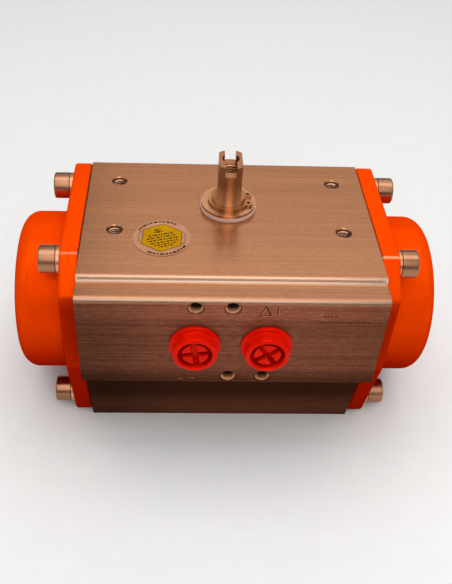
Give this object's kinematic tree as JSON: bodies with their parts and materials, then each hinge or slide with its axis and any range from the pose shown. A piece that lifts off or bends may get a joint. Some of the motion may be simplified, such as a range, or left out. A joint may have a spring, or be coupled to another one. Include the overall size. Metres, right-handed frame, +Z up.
{
  "type": "rotary pneumatic actuator",
  "caption": "Rack-and-pinion quarter-turn pneumatic actuator: extruded body, domed painted end caps, slotted shaft on top, plugged air ports in front and a valve flange below.",
  "frame": {"origin": "where the pinion axis meets the valve flange face, at the centre of the flange's screw circles", "axes": "+Z up the pinion axis to the shaft end, +X along the cylinder, -Y towards the air ports"},
  "size_m": [0.1536, 0.0926, 0.102],
  "materials": {
    "anodised_body": "anodised, fine horizontal brushing",
    "cap_paint": "glossy paint over die casting",
    "gasket": "matt",
    "screw_steel": "satin plated",
    "plug_plastic": "moulded, glossy",
    "label_print": "printed foil",
    "bearing_plastic": "self-lubricating polymer",
    "thrust_plastic": "pale self-lubricating polymer",
    "pinion_steel": "turned and milled, plated",
    "washer_steel": "turned, bright",
    "spring_steel": "spring steel, lightly oiled",
    "seal_rubber": "matt",
    "cast_piston": "die cast, machined rack"
  },
  "bodies": {
    "housing": {"body": "anodised_body", "end_cap_left": "cap_paint", "end_cap_right": "cap_paint", "cap_gasket_left": "gasket", "cap_gasket_right": "gasket", "cap_screws_left": "screw_steel", "cap_screws_right": "screw_steel", "lock_washers_left": "screw_steel", "lock_washers_right": "screw_steel", "port_plug_left": "plug_plastic", "port_plug_right": "plug_plastic", "rating_label": "label_print", "upper_bush": "bearing_plastic", "lower_bush": "bearing_plastic", "inner_thrust_ring": "bearing_plastic", "top_thrust_disc": "thrust_plastic", "springs_left": "spring_steel", "springs_right": "spring_steel"},
    "pinion_shaft": {"pinion": "pinion_steel", "shaft_washer": "washer_steel", "circlip": "spring_steel", "upper_o_ring": "seal_rubber", "lower_o_ring": "seal_rubber"},
    "left_piston": {"piston_left": "cast_piston", "piston_seal_left": "seal_rubber", "guide_ring_left": "bearing_plastic", "rack_pad_left": "bearing_plastic"},
    "right_piston": {"piston_right": "cast_piston", "piston_seal_right": "seal_rubber", "guide_ring_right": "bearing_plastic", "rack_pad_right": "bearing_plastic"}
  },
  "joints": [
    {"name": "pinion_turn", "type": "hinge", "parent": "housing", "child": "pinion_shaft", "pos_m": [0, 0, 0], "axis": [0, 0, 1], "range_deg": [0, 90]},
    {"name": "right_piston_slide", "type": "slide", "parent": "housing", "child": "right_piston", "axis": [1, 0, 0], "range_m": [0, 0.01571], "stiffness_N_per_m": 200, "deforming": ["springs_right"]},
    {"name": "left_piston_slide", "type": "slide", "parent": "housing", "child": "left_piston", "axis": [-1, 0, 0], "range_m": [0, 0.01572], "stiffness_N_per_m": 200, "deforming": ["springs_left"]}
  ],
  "couplings": [
    {"joint": "pinion_turn", "follows": "right_piston_slide", "rad_per_m": 100},
    {"joint": "left_piston_slide", "follows": "right_piston_slide", "ratio": 1}
  ]
}
